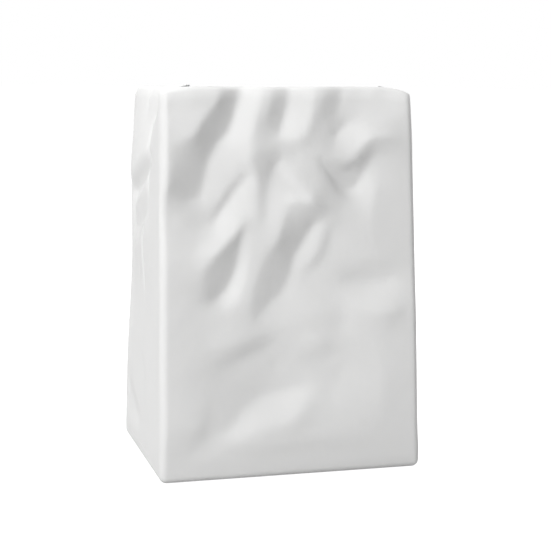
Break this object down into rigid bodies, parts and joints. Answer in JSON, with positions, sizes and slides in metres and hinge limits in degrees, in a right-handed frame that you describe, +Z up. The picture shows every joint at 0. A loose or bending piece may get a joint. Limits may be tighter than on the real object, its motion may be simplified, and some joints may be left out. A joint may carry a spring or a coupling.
{
  "type": "vase",
  "caption": "Upright flower vase in the form of a crumpled paper bag: leaning creased walls, folded side gussets, a flat base, an open rounded lip and a glazed inside.",
  "frame": {"origin": "on the resting plane, under the middle of the base", "axes": "+Z up towards the mouth, +X along the front wall to the right as seen from the front, -Y out of the front wall"},
  "size_m": [0.1402, 0.1065, 0.2],
  "materials": {
    "bisque_porcelain": "unglazed matt white porcelain, fine grained",
    "clear_glaze": "thin clear glaze over white porcelain, glossy"
  },
  "bodies": {
    "root": {"front_wall": "bisque_porcelain", "back_wall": "bisque_porcelain", "left_gusset": "bisque_porcelain", "right_gusset": "bisque_porcelain", "base": "bisque_porcelain", "inner_glaze": "clear_glaze"}
  },
  "joints": []
}
